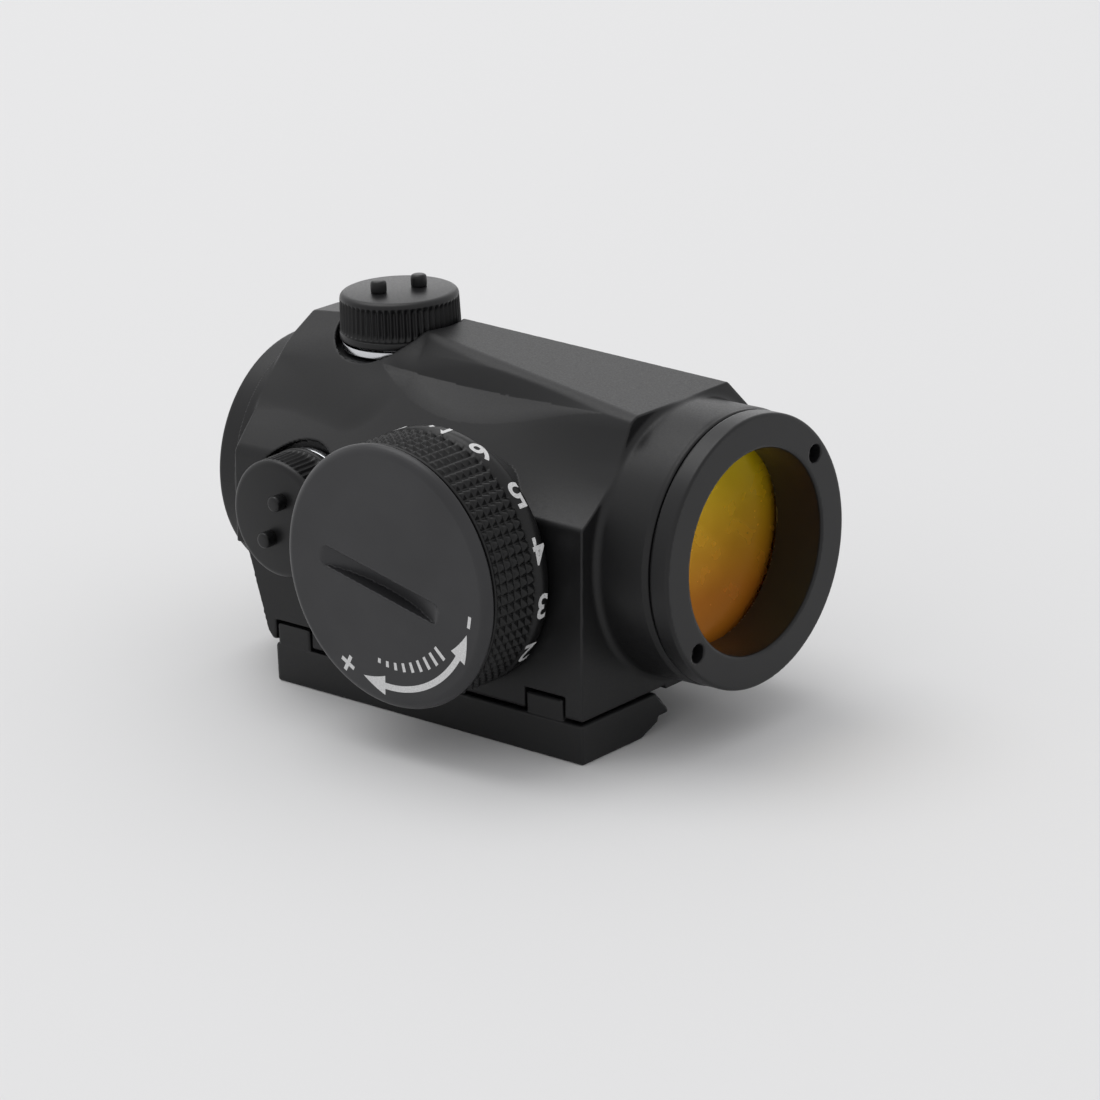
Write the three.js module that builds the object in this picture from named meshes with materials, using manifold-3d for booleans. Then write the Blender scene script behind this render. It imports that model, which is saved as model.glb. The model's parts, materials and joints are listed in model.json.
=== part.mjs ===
// Compact closed-tube red dot sight with a clamp for a dovetail rail.
// Millimetres. +X is forward along the optical axis, +Y is left, +Z is up.
// Everything is drawn about the optical axis; the last line lifts it so that
// the face that rests on the rail is at Z = 0.

import * as THREE from 'three';
import { mergeVertices } from 'three/addons/utils/BufferGeometryUtils.js';
import Module from 'manifold-3d';

const wasm = await Module();
wasm.setup();

// ---------------------------------------------------------------- dimensions

const GAP = 0.3;                 // left between pieces that touch
const AXIS_HEIGHT = 15.1;        // optical axis above the rail

const TUBE = {
  front: 28.35, rear: -31, radius: 14, rearRadius: 13.4, rearStep: -28.6,
  bore: 12, boreRear: -24.5, counterbore: 12.6, frontSeat: 19.5, rearSeat: -25.7, sight: 10.4,
};

const BODY = {
  front: 22, rear: -28, nearFoot: -17, nearShoulder: -15.9, shoulder: 5.2, far: 14.2,
  topFront: 14.3, ridge: -14.9, topRidge: 17.62, topRear: 16.13, bottom: -AXIS_HEIGHT, landHalf: 4,
};

// Flat facets of both shoulders, as [outward normal, a point on it].
const FACETS = [
  [[-0.0215, -0.6847, 0.7285], [22, -7.6, 14.25]],
  [[-0.1302, -0.4812, 0.8669], [-28, -0.97, 16.12]],
  [[-0.0373, 0.707, 0.707], [22, 7.3, 14.3]],
];

// The near shoulder is hollowed by a wide cylinder that leans inwards towards the rear.
const HOLLOW = { radius: 19.07, front: [22, -25.6, 21.33], rear: [-28, -25.1, 20.9] };

// The long hollow along the near shoulder: an ellipsoid's radii, its turn and its middle.
const SCOOP = { radii: [20, 3.4, 3.4], turn: [0, 1.6, 3], middle: [4, -10.1, 14.6] };

const TURRET = {
  x: -16.05, pocket: 6.85, floor: 13.7, seatIn: 5.2, seatOut: 6.2, seatThick: 0.75,
  neckIn: 4.3, neckOut: 4.9, neckTop: 17.9,
  capBottom: 15.05, capTop: 19.95, capFoot: 6.42, capHead: 6.25, capIn: 5.25, capRoof: 18.65,
  stud: 0.85, studHigh: 1.5, studOut: 2.3, studTurn: 67,
  drum: 3.9, drumTop: 17.6, stem: 1.7, stemEnd: 11.7, stemHole: 2.1,
  ball: 0.5, ballOut: 3, ballHole: 0.8, ballHoleEnd: 12.6,
};

const KNOB = {
  x: 5.25, z: -0.36, radius: 13.4, inner: 17.2, wall: 18.9, mouth: 25.05, well: 10.6,
  thread: 12.15, threadEnd: 21.3, capRadius: 13.58, capRoof: 24.05, rimUnder: 25.35, face: 26.48,
  skirtIn: 10.65, skirtOut: 11.85, skirtEnd: 21.7, slot: 15.8, slotWide: 2.1, slotDeep: 1.3,
  slotTurn: -12.9, slotMiddle: [-0.8, -0.7, 0],
  bush: 5, bushHole: 5.3, recess: 7.6, recessEnd: 14.9, boss: 10.1, bossTop: 16.9,
  clickOut: 8.9, clickHole: 0.75, clickHoleEnd: 14.4,
};

const CLAW = {
  rear: -20.2, front: 22, top: BODY.bottom, bottom: -19.3, railHalf: 5.5, railRoot: 3.6,
  tip: -17.7, earTop: -12.9, earInner: -15.5, ears: [[-19.8, -15.2], [14.8, 19.5]],
};

const JAW = {
  rear: -12, front: 7, inner: 9.3, outer: 13.3, top: -11.3, screws: [-8, 3], screwZ: -13.4,
};

const GIMBAL = { x: 15, in: 11, out: 11.7, half: 1.5, pin: 0.7 };
const INNER = { front: 18.5, rear: -22, out: 10.4, in: 9.4 };

// ----------------------------------------------------------------- materials

function finish(colour, roughness, metalness, opacity = 1) {
  return new THREE.MeshStandardMaterial({
    color: colour, roughness, metalness, opacity, transparent: opacity < 1,
  });
}

const ANODISED = finish(0x2b2b2d, 0.55, 0.3);
const SATIN = finish(0x232325, 0.4, 0.3);
const BLACK = finish(0x121213, 0.85, 0);
const BRIGHT = finish(0xb9bbbd, 0.3, 0.9);
const STEEL = finish(0x77797c, 0.35, 0.85);
const BRASS = finish(0xb08d45, 0.35, 0.85);
const RUBBER = finish(0x0c0c0d, 0.8, 0);
const AMBER = finish(0xd08a18, 0.08, 0.2, 0.7);
const CLEAR = finish(0xdfe9ee, 0.05, 0, 0.3);
const BOARD = finish(0x1d4a2c, 0.5, 0);
const PLASTIC = finish(0x3a3a3c, 0.6, 0);
const RED = finish(0xc01818, 0.3, 0);

// ------------------------------------------------------------- solid helpers

// A closed three.js geometry as a solid that can be joined and cut.
function solid(geometry) {
  const bare = geometry.clone();
  bare.deleteAttribute('normal');
  bare.deleteAttribute('uv');
  const merged = mergeVertices(bare, 1e-5);
  const place = merged.getAttribute('position');
  const index = merged.getIndex().array;
  const corner = (k) => new THREE.Vector3().fromBufferAttribute(place, k);
  const triangles = [];
  let volume = 0;
  for (let i = 0; i < index.length; i += 3) {
    const [a, b, c] = [index[i], index[i + 1], index[i + 2]];
    if (a === b || b === c || c === a) continue;
    triangles.push([a, b, c]);
    volume += corner(a).dot(corner(b).cross(corner(c)));
  }
  const ordered = triangles.flatMap(([a, b, c]) => (volume > 0 ? [a, b, c] : [a, c, b]));
  return new wasm.Manifold(new wasm.Mesh({
    numProp: 3,
    vertProperties: new Float32Array(place.array),
    triVerts: new Uint32Array(ordered),
  }));
}

// A solid as a named mesh.
function part(name, shape, material) {
  const mesh = shape.getMesh();
  const geometry = new THREE.BufferGeometry();
  geometry.setAttribute('position', new THREE.BufferAttribute(new Float32Array(mesh.vertProperties), 3));
  geometry.setIndex(new THREE.BufferAttribute(new Uint32Array(mesh.triVerts), 1));
  geometry.computeVertexNormals();
  const result = new THREE.Mesh(geometry, material);
  result.name = name;
  return result;
}

const join = (shapes) => shapes.reduce((whole, shape) => whole.add(shape));
const cut = (whole, tools) => tools.reduce((rest, tool) => rest.subtract(tool), whole);

// A turned solid about the local Z axis, from [radius, height] points.
function turned(points, segments = 32) {
  const profile = points.map(([r, h]) => new THREE.Vector2(r, h));
  return solid(new THREE.LatheGeometry(profile, segments).rotateX(Math.PI / 2));
}

function disc(radius, low, high, segments = 32) {
  return turned([[0, low], [radius, low], [radius, high], [0, high]], segments);
}

function ring(inner, outer, low, high, segments = 32) {
  return turned([[inner, low], [outer, low], [outer, high], [inner, high], [inner, low]], segments);
}

function torus(radius, wire, height, segments = 24) {
  return solid(new THREE.TorusGeometry(radius, wire, 6, segments).translate(0, 0, height));
}

function ball(radius, x, y, z) {
  return solid(new THREE.SphereGeometry(radius, 8, 6).translate(x, y, z));
}

function block(low, high) {
  const size = high.map((value, k) => value - low[k]);
  const middle = high.map((value, k) => (value + low[k]) / 2);
  return solid(new THREE.BoxGeometry(...size).translate(...middle));
}

// An outline drawn in one plane and drawn out along the third axis.
const PLANES = {
  front: new THREE.Matrix4().makeBasis(
    new THREE.Vector3(0, 1, 0), new THREE.Vector3(0, 0, 1), new THREE.Vector3(1, 0, 0)),
  side: new THREE.Matrix4().makeBasis(
    new THREE.Vector3(1, 0, 0), new THREE.Vector3(0, 0, 1), new THREE.Vector3(0, -1, 0)),
  plan: new THREE.Matrix4(),
};

function prism(plane, outline, low, high) {
  const shape = new THREE.Shape(outline.map(([u, v]) => new THREE.Vector2(u, v)));
  const geometry = new THREE.ExtrudeGeometry(shape, { depth: high - low, bevelEnabled: false });
  const start = plane === 'side' ? -high : low;
  return solid(geometry.translate(0, 0, start).applyMatrix4(PLANES[plane]));
}

// Turn a solid made about local Z so that it points along X, or out of the near side.
const forward = (shape) => shape.rotate([0, 90, 0]);
const outNear = (shape) => shape.rotate([90, 0, 0]);

// ------------------------------------------------------------------- housing

function barrel() {
  const { front, rear, radius, rearRadius, rearStep } = TUBE;
  return forward(turned([
    [0, rear], [rearRadius - 0.4, rear], [rearRadius, rear + 0.4], [rearRadius + 0.3, rearStep],
    [radius, rearStep + 0.6], [radius, front], [0, front],
  ], 56));
}

// Everything on the outer side of a plane.
function beyond([normal, point]) {
  const size = 160;
  const slab = new THREE.BoxGeometry(size, size, size).translate(0, 0, size / 2);
  const turn = new THREE.Quaternion().setFromUnitVectors(
    new THREE.Vector3(0, 0, 1), new THREE.Vector3(...normal).normalize());
  return solid(slab.applyQuaternion(turn).translate(...point));
}

// The box section between the turrets and the front of the body.
function bodyBlock() {
  const b = BODY;
  const endView = prism('front', [
    [b.nearFoot, b.bottom], [9, b.bottom], [b.far, -9], [b.far, 9], [5, 18.2],
    [-14, 18.2], [b.nearShoulder, b.shoulder],
  ], b.rear, b.front);
  const sideView = prism('side', [
    [b.front, b.bottom], [b.front, b.topFront], [b.ridge, b.topRidge], [b.rear, b.topRear],
    [b.rear, -5.05], [-24.2, -5.15], [-21.3, -13.9], [CLAW.rear, b.bottom],
  ], -30, 30);
  const planView = prism('plan', [
    [b.front, -30], [b.front, 30], [-19, 30], [-24, b.far], [b.rear, 10],
    [b.rear, -4], [-25.52, -17.4], [-25.52, -30],
  ], -30, 30);
  return endView.intersect(sideView).intersect(planView);
}

function shoulderHollow() {
  const front = new THREE.Vector3(...HOLLOW.front);
  const rear = new THREE.Vector3(...HOLLOW.rear);
  const beyondEnds = 8;
  const span = front.distanceTo(rear) / 2 + beyondEnds;
  const turn = new THREE.Quaternion().setFromUnitVectors(
    new THREE.Vector3(0, 1, 0), front.clone().sub(rear).normalize());
  const bar = new THREE.CylinderGeometry(HOLLOW.radius, HOLLOW.radius, 2 * span, 72);
  return solid(bar.applyQuaternion(turn).translate(...front.add(rear).multiplyScalar(0.5)));
}

function shoulderScoop() {
  const ellipsoid = new THREE.SphereGeometry(1, 28, 14).rotateZ(Math.PI / 2).scale(...SCOOP.radii);
  return solid(ellipsoid).rotate(SCOOP.turn).translate(SCOOP.middle);
}

// The claw bar and the jaw are let in on both sides of the land that rests on the rail.
function landCuts() {
  const low = -30;
  const high = BODY.bottom + GAP;
  return [
    block([-40, -30, low], [40, -BODY.landHalf, high]),
    block([-40, BODY.landHalf, low], [40, 30, high]),
  ];
}

function housingBore() {
  const t = TUBE;
  const end = 40;
  return forward(turned([
    [0, -end], [12.3, -end], [12.3, t.rearSeat], [t.sight, t.rearSeat], [t.sight, t.boreRear],
    [t.bore, t.boreRear], [t.bore, t.frontSeat], [t.counterbore, t.frontSeat],
    [t.counterbore, end], [0, end],
  ], 48));
}

// What is cut from the housing for one turret, about the turret's own axis.
function turretCuts() {
  const t = TURRET;
  return [
    disc(t.pocket, t.floor, 30),
    disc(t.stemHole, 8, 30, 24),
    disc(t.ballHole, t.ballHoleEnd, 30, 16).translate([t.ballOut, 0, 0]),
  ];
}

// The round boss that carries the switch stands out of the sloping side.
function switchBoss() {
  const boss = outNear(disc(KNOB.boss, 12.5, KNOB.bossTop, 40));
  return boss.translate([KNOB.x, 0, KNOB.z]);
}

function switchCuts() {
  const k = KNOB;
  const cuts = [
    disc(k.recess, k.recessEnd, 30),
    disc(2, 10, 30, 24),
    disc(k.clickHole, k.clickHoleEnd, 30, 12).translate([k.clickOut, 0, 0]),
  ];
  return cuts.map((shape) => outNear(shape).translate([k.x, 0, k.z]));
}

function clawCuts() {
  const pockets = CLAW.ears.map(([rear, front]) => block(
    [rear - GAP, -30, BODY.bottom - 1], [front + GAP, CLAW.earInner + GAP, CLAW.earTop + GAP]));
  const holes = clawScrewPlaces().map(([x, y]) => disc(1.3, -22, -11.8, 16).translate([x, y, 0]));
  return [...pockets, ...holes];
}

function jawCuts() {
  const j = JAW;
  const pocket = block([j.rear - 0.4, j.inner - GAP, -30], [j.front + 0.4, 30, j.top + GAP]);
  const holes = j.screws.map((x) => outNear(disc(1.1, -30, -3, 16)).translate([x, 0, j.screwZ]));
  return [pocket, ...holes];
}

function gimbalCuts() {
  const hole = disc(GIMBAL.pin + GAP, -12.9, 12.9, 16);
  return [outNear(hole).translate([GIMBAL.x, 0, 0])];
}

function housing() {
  const middle = cut(bodyBlock(), [
    ...FACETS.map(beyond), shoulderHollow(), shoulderScoop(), ...landCuts(),
  ]);
  const outside = join([barrel(), middle, switchBoss()]);
  const elevation = turretCuts().map((shape) => shape.translate([TURRET.x, 0, 0]));
  const windage = turretCuts().map((shape) => outNear(shape).translate([TURRET.x, 0, 0]));
  const shape = cut(outside, [
    housingBore(), ...elevation, ...windage, ...switchCuts(), ...clawCuts(), ...jawCuts(),
    ...gimbalCuts(),
  ]);
  return part('housing', shape, ANODISED);
}

// -------------------------------------------------------------- fixed optics

function frontRing() {
  const edge = 0.35;
  const shape = forward(turned([
    [10.5, 25.1], [12.3, 25.1], [12.3, 28.65], [14, 28.65], [14, 31 - edge], [14 - edge, 31],
    [10.8, 31], [10.5, 30.7], [10.5, 25.1],
  ], 48));
  const holes = [130, 310].map((turn) => forward(
    disc(0.95, 29.6, 32, 16).translate([12.35, 0, 0]).rotate([0, 0, turn])));
  return part('front_retaining_ring', cut(shape, holes), SATIN);
}

function rearRing() {
  const shape = forward(turned([
    [9.9, -31], [12, -31], [12, -28.2], [10.3, -28.2], [10.3, -29.6], [9.9, -30], [9.9, -31],
  ], 48));
  const slots = block([-31.5, -13, -0.6], [-30.4, 13, 0.6]);
  return part('rear_retaining_ring', shape.subtract(slots), SATIN);
}

function objective() {
  const front = forward(turned([
    [0, 22.5], [6, 22.35], [12.2, 21.9], [12.2, 24.1], [10.4, 24.1], [7, 23.75], [3.5, 23.5], [0, 23.4],
  ], 36));
  const rear = forward(turned([
    [0, 20.4], [6, 20.2], [10.4, 19.8], [12.2, 19.8], [12.2, 21.6], [6, 22.05], [0, 22.2],
  ], 36));
  return [
    part('objective_front_element', front, AMBER),
    part('objective_rear_element', rear, CLEAR),
  ];
}

function eyepiece() {
  return part('eyepiece_window', forward(disc(11.9, -27.6, -26, 36)), CLEAR);
}

function windowSeals() {
  return [
    part('front_lens_seal', forward(torus(11.75, 0.3, 24.7)), RUBBER),
    part('rear_window_seal', forward(torus(11.3, 0.2, -27.9)), RUBBER),
  ];
}

// ------------------------------------------------------- adjustable inner tube

// Stub pins on both sides of the axis, along the local X direction.
function pins(inner, outer) {
  return [1, -1].map((side) => disc(GIMBAL.pin, inner, outer, 12)
    .rotate([0, 90 * side, 0]));
}

function gimbalRing() {
  const g = GIMBAL;
  const shell = ring(g.in, g.out, -g.half, g.half, 36);
  const yawHoles = [1, -1].map((side) => disc(g.pin + GAP, 9, 13, 12).rotate([0, 90 * side, 0]));
  const pitchPins = pins(g.in + 0.2, 12.6).map((shape) => shape.rotate([0, 0, 90]));
  const shape = join([cut(shell, yawHoles), ...pitchPins]);
  return part('gimbal_ring', forward(shape).translate([g.x, 0, 0]), STEEL);
}

function innerTube() {
  const t = INNER;
  const shell = ring(t.in, t.out, t.rear, t.front, 36);
  const yawPins = pins(t.in + 0.3, 11.5).map((shape) => shape.translate([0, 0, GIMBAL.x]));
  const window = block([4.2, -9.5, -19.8], [20, -2.2, -14.2]);
  const flats = [
    block([-20, -20, TURRET.x - 4], [-10.15, 20, TURRET.x + 4]),
    block([-20, -20, TURRET.x - 4], [20, -10.15, TURRET.x + 4]),
  ];
  const shape = cut(join([shell, ...yawPins]), [window, ...flats]);
  return part('inner_tube', forward(shape), BLACK);
}

// The block that holds the light source at the bottom right of the tube.
function emitter() {
  const holder = prism('front', [
    [-8.1, -4.6], [-6, -4.6], [-4.8, -6.4], [-4.8, -8], [-7.2, -8],
  ], -19.4, -14.6);
  const seat = forward(disc(0.95, -16, -10, 16)).translate([0, -6.4, -6.2]);
  const led = forward(disc(0.6, -15.6, -14.8, 12)).translate([0, -6.4, -6.2]);
  return [
    part('emitter_holder', holder.subtract(seat), PLASTIC),
    part('emitter_led', led, RED),
  ];
}

// A bowed leaf that pushes the tube towards both adjusters.
function returnSpring() {
  const leaf = ring(11.15, 11.45, -2, 2, 36);
  const sector = prism('plan', [[0, 0], [20, -11], [20, 11]], -5, 5);
  const shape = forward(leaf.intersect(sector)).rotate([135, 0, 0]);
  return part('tube_return_spring', shape.translate([TURRET.x, 0, 0]), STEEL);
}

// ------------------------------------------------------------------- turrets

// Solids of one turret about its own axis; height is distance from the optical axis.
function turretSolids() {
  const t = TURRET;
  const cap = turned([
    [0, t.capRoof], [t.capIn, t.capRoof], [t.capIn, t.capBottom + 1.1],
    [5.7, t.capBottom + 1.1], [5.7, t.capBottom], [t.capFoot, t.capBottom],
    [t.capHead, t.capTop - 0.5], [t.capHead - 0.5, t.capTop], [0, t.capTop],
  ], 36);
  const studs = [1, -1].map((side) => disc(t.stud, t.capTop - 0.3, t.capTop + t.studHigh, 12)
    .translate([side * t.studOut, 0, 0]).rotate([0, 0, t.studTurn]));
  const drum = turned([
    [0, t.stemEnd], [t.stem, t.stemEnd], [t.stem, 15.2], [t.drum, 15.2], [t.drum, 16],
    [3.3, 16], [3.3, 16.6], [t.drum, 16.6], [t.drum, t.drumTop], [0, t.drumTop],
  ], 24);
  const drumHoles = [1, -1].map((side) => disc(1, 16.4, 20, 12).translate([side * t.studOut, 0, 0])
    .rotate([0, 0, t.studTurn]));
  const seatLow = t.floor + GAP;
  return {
    seat_ring: [ring(t.seatIn, t.seatOut, seatLow, seatLow + t.seatThick), BRIGHT],
    threaded_neck: [ring(t.neckIn, t.neckOut, seatLow, t.neckTop), STEEL],
    adjuster: [cut(drum, drumHoles), BRASS],
    adjuster_seal: [torus(3.75, 0.22, 16.3, 16), RUBBER],
    cap: [join([cap, ...studs]), SATIN],
    cap_seal: [ring(5, 5.5, 15.2, 15.75, 24), RUBBER],
    click_ball: [ball(t.ball, t.ballOut, 0, 14.25), STEEL],
    click_spring: [ring(0.25, 0.5, 12.9, 13.5, 12).translate([t.ballOut, 0, 0]), STEEL],
  };
}

function turret(prefix, turn) {
  return Object.entries(turretSolids()).map(([name, [shape, material]]) => part(
    `${prefix}_${name}`, turn(shape).translate([TURRET.x, 0, 0]), material));
}

// -------------------------------------------------- rotary switch and battery

function switchKnob() {
  const k = KNOB;
  return turned([
    [k.bushHole, k.inner], [k.radius - 0.4, k.inner], [k.radius, k.inner + 0.4],
    [k.radius, k.mouth], [k.thread, k.mouth], [k.thread, k.threadEnd], [k.well, k.threadEnd], [k.well, k.wall],
    [k.bushHole, k.wall], [k.bushHole, k.inner],
  ], 48);
}

function batteryCap() {
  const k = KNOB;
  const edge = 0.5;
  const body = turned([
    [0, k.capRoof], [k.skirtIn, k.capRoof], [k.skirtIn, k.skirtEnd], [k.skirtOut, k.skirtEnd],
    [k.skirtOut, 22.6], [11.15, 22.6], [11.15, 23.4], [k.skirtOut, 23.4], [k.skirtOut, k.rimUnder],
    [k.capRadius, k.rimUnder], [k.capRadius, k.face - edge], [k.capRadius - edge, k.face],
    [0, k.face],
  ], 48);
  const half = k.slot / 2 - k.slotWide / 2;
  const slot = [
    block([-half, -k.slotWide / 2, k.face - k.slotDeep], [half, k.slotWide / 2, k.face + 1]),
    ...[-half, half].map((x) => disc(k.slotWide / 2, k.face - k.slotDeep, k.face + 1, 12)
      .translate([x, 0, 0])),
  ];
  return cut(body, slot.map((shape) => shape.rotate([0, 0, k.slotTurn]).translate(k.slotMiddle)));
}

function switchSolids() {
  const k = KNOB;
  const insulator = ring(1.1, 2.9, 15.4, 20, 20);
  const bush = ring(3.2, k.bush, 15.3, 19.9);
  return {
    switch_board: [ring(5.4, 7.3, 15.4, 16.2), BOARD],
    switch_bush: [bush, BRASS],
    switch_retaining_ring: [ring(k.bush + GAP, 6.6, k.wall + GAP, 19.6), STEEL],
    contact_insulator: [insulator, PLASTIC],
    contact_pin: [disc(0.8, 13.4, 20.4, 16), BRIGHT],
    switch_click_ball: [ball(0.45, k.clickOut, 0, 16.6), STEEL],
    switch_click_spring: [ring(0.2, 0.45, 14.7, 16, 12).translate([k.clickOut, 0, 0]), STEEL],
    rotary_switch_knob: [switchKnob(), SATIN],
    battery_contact: [ring(7.4, 9.4, 19.9, 20.2, 32), STEEL],
    coin_cell: [turned([[0, 20.75], [9, 20.75], [9, 21.1], [10, 21.3], [10, 23.75], [0, 23.75]], 36), BRIGHT],
    battery_cap: [batteryCap(), SATIN],
    battery_cap_seal: [ring(11.3, 11.85, 22.75, 23.25, 36), RUBBER],
  };
}

function rotarySwitch() {
  return Object.entries(switchSolids()).map(([name, [shape, material]]) => part(
    name, outNear(shape).translate([KNOB.x, 0, KNOB.z]), material));
}

// --------------------------------------------------------------- rail clamp

function clawScrewPlaces() {
  return [-12, 3, 17].map((x) => [x, -11.5]);
}

function clawBar() {
  const c = CLAW;
  const section = [
    [BODY.nearFoot, c.top], [BODY.nearFoot, c.bottom + 0.4], [BODY.nearFoot + 0.4, c.bottom],
    [-8, c.bottom], [-5.3, -18.3], [-5.2, c.tip + 0.05], [-c.railRoot, c.tip],
    [-c.railHalf, c.top],
  ];
  const bar = prism('front', section, c.rear, c.front);
  const ears = c.ears.map(([rear, front]) => block(
    [rear, BODY.nearFoot + 0.05, c.top - 0.5], [front, c.earInner, c.earTop]));
  const holes = clawScrewPlaces().flatMap(([x, y]) => [
    disc(1.5, -30, 0, 16).translate([x, y, 0]),
    disc(2.5, -30, -17.2, 20).translate([x, y, 0]),
  ]);
  return part('fixed_claw_bar', cut(join([bar, ...ears]), holes), ANODISED);
}

function clawScrews() {
  const screw = join([
    disc(1, -17.8, -12.2, 12),
    cut(disc(2.2, -19.1, -17.5, 20), [disc(1.15, -20, -18.2, 6)]),
  ]);
  return clawScrewPlaces().map(([x, y], number) => part(
    `claw_bar_screw_${number + 1}`, screw.translate([x, y, 0]), STEEL));
}

function clampJaw() {
  const c = CLAW;
  const j = JAW;
  const section = [
    [c.railRoot, c.tip], [5.2, c.tip - 0.05], [5.3, -18.3], [6.3, c.bottom], [j.outer - 1.4, c.bottom],
    [j.outer, c.bottom + 1.4], [j.outer, j.top], [j.inner, j.top], [j.inner, c.top], [c.railHalf, c.top],
  ];
  const bar = prism('front', section, j.rear, j.front);
  const holes = j.screws.flatMap((x) => [
    outNear(disc(1.1, -30, 0, 16)).translate([x, 0, j.screwZ]),
    outNear(disc(1.95, -30, -11.4, 20)).translate([x, 0, j.screwZ]),
  ]);
  return part('clamp_jaw', cut(bar, holes), ANODISED);
}

function clampScrew(name, x) {
  const screw = join([
    disc(0.8, -12, -4, 12),
    cut(disc(1.65, -13.2, -11.7, 20), [disc(0.9, -14, -12.4, 6)]),
  ]);
  return part(name, outNear(screw).translate([x, 0, JAW.screwZ]), STEEL);
}

// ------------------------------------------------------------------ assembly

const sight = new THREE.Group();
sight.add(
  housing(),
  frontRing(),
  rearRing(),
  ...objective(),
  eyepiece(),
  ...windowSeals(),
  innerTube(),
  gimbalRing(),
  returnSpring(),
  ...emitter(),
  ...turret('elevation', (shape) => shape),
  ...turret('windage', outNear),
  ...rotarySwitch(),
  clawBar(),
  ...clawScrews(),
  clampJaw(),
  clampScrew('clamp_screw_rear', JAW.screws[0]),
  clampScrew('clamp_screw_front', JAW.screws[1]),
);
sight.position.z = AXIS_HEIGHT;
sight.updateMatrixWorld(true);

export default sight;
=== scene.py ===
"""Looks for the compact red dot sight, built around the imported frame.

Millimetres inside the shape functions, about the optical axis: x forward, y left, z up.
The last step of every piece turns them into metres and lifts them by the axis height.
"""

import json
import math

import bmesh
import bpy
import numpy as np
from mathutils import Matrix, Vector


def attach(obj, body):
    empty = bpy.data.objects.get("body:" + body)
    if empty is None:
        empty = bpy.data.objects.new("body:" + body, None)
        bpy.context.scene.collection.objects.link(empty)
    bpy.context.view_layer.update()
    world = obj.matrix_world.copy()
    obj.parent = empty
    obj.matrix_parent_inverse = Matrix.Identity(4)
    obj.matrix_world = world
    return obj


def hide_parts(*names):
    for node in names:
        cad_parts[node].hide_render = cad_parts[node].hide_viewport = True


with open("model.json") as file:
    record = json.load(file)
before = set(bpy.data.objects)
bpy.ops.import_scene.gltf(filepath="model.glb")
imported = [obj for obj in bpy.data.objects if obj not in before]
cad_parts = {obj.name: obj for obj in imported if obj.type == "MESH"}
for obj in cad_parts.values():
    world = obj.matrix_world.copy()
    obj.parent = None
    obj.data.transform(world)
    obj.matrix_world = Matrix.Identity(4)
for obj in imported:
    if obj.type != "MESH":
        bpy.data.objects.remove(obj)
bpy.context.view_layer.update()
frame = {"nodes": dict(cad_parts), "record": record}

MM = 0.001
AXIS_HEIGHT = 15.1            # optical axis above the rail seat
RAIL = -AXIS_HEIGHT           # rail seat, measured from the optical axis
FLOOR = -19.3                 # underside of the clamp foot, measured from the optical axis

BARREL_RADIUS = 14            # outside of the barrel and of the front ring
RING_BORE = 10.5              # opening of the front ring
TUBE_BORE = 12                # inside of the tube
FACE_X = 22                   # front face of the faceted body
RING_X = 28.65                # back of the front ring's flange
NOSE_X = 31                   # front of the sight

TURRET_X = -16.05             # both adjusters stand at this x
POCKET_RADIUS = 6.85          # round pocket that each adjuster cap stands in
POCKET_FLOOR = 13.7           # distance of its floor from the optical axis
KNOB_X, KNOB_Z = 5.25, -0.36  # axis of the rotary switch
COIN_SLOT_TURN = -12.9        # degrees, seen from the near side
COIN_SLOT = (-0.8, -0.7)      # middle of the slot in x and z, from the axis of the switch


# ------------------------------------------------------------------ distances
# Each returns signed distance in millimetres for points given as an (n, 3) array.

def length(*parts):
    return np.sqrt(sum(part * part for part in parts))


def both(a, b, edge=0.0):
    """Intersection whose outer edge is rounded to the radius edge."""
    if not edge:
        return np.maximum(a, b)
    outside = length(np.maximum(a + edge, 0), np.maximum(b + edge, 0))
    return np.minimum(np.maximum(a, b), -edge) + outside


def either(a, b, fillet=0.0):
    """Union whose inner corner is filled to the radius fillet."""
    if not fillet:
        return np.minimum(a, b)
    inside = length(np.maximum(fillet - a, 0), np.maximum(fillet - b, 0))
    return np.maximum(np.minimum(a, b), fillet) - inside


def without(a, b, edge=0.0):
    return both(a, -b, edge)


def facets(points, planes, edge):
    """A convex solid of flat faces with true rounded edges: planes are (normal, point)."""
    normals = [np.array(normal) / np.linalg.norm(normal) for normal, _ in planes]
    inset = [(points - np.array(point)) @ normal + edge
             for normal, (_, point) in zip(normals, planes)]
    result = np.max(inset, axis=0)
    for i in range(len(planes)):
        for j in range(i):
            lean = float(normals[i] @ normals[j])
            if abs(lean) > 0.9999:
                continue
            a, b = inset[i], inset[j]
            beside = (a > lean * b) & (b > lean * a)
            square = (a * a + b * b - 2 * lean * a * b) / (1 - lean * lean)
            result = np.where(beside, np.maximum(result, np.sqrt(np.maximum(square, 0))), result)
    return result - edge


def box(points, low, high, edge=0.0):
    middle = (np.array(low) + np.array(high)) / 2
    half = (np.array(high) - np.array(low)) / 2 - edge
    away = np.abs(points - middle) - half
    outside = np.linalg.norm(np.maximum(away, 0), axis=1)
    return outside + np.minimum(np.max(away, axis=1), 0) - edge


def along(points, axis, centre):
    """Radius about an axis through centre, and the place along it."""
    local = points - np.array(centre)
    axis = np.array(axis, float)
    place = local @ axis
    return np.linalg.norm(local - np.outer(place, axis), axis=1), place


def cylinder(points, axis, centre, radius, low, high, edge=0.0):
    r, h = along(points, axis, centre)
    return both(r - radius, np.maximum(low - h, h - high), edge)


def tube(points, axis, centre, inner, outer, low, high, edge=0.0):
    r, h = along(points, axis, centre)
    return both(np.maximum(inner - r, r - outer), np.maximum(low - h, h - high), edge)


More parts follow.
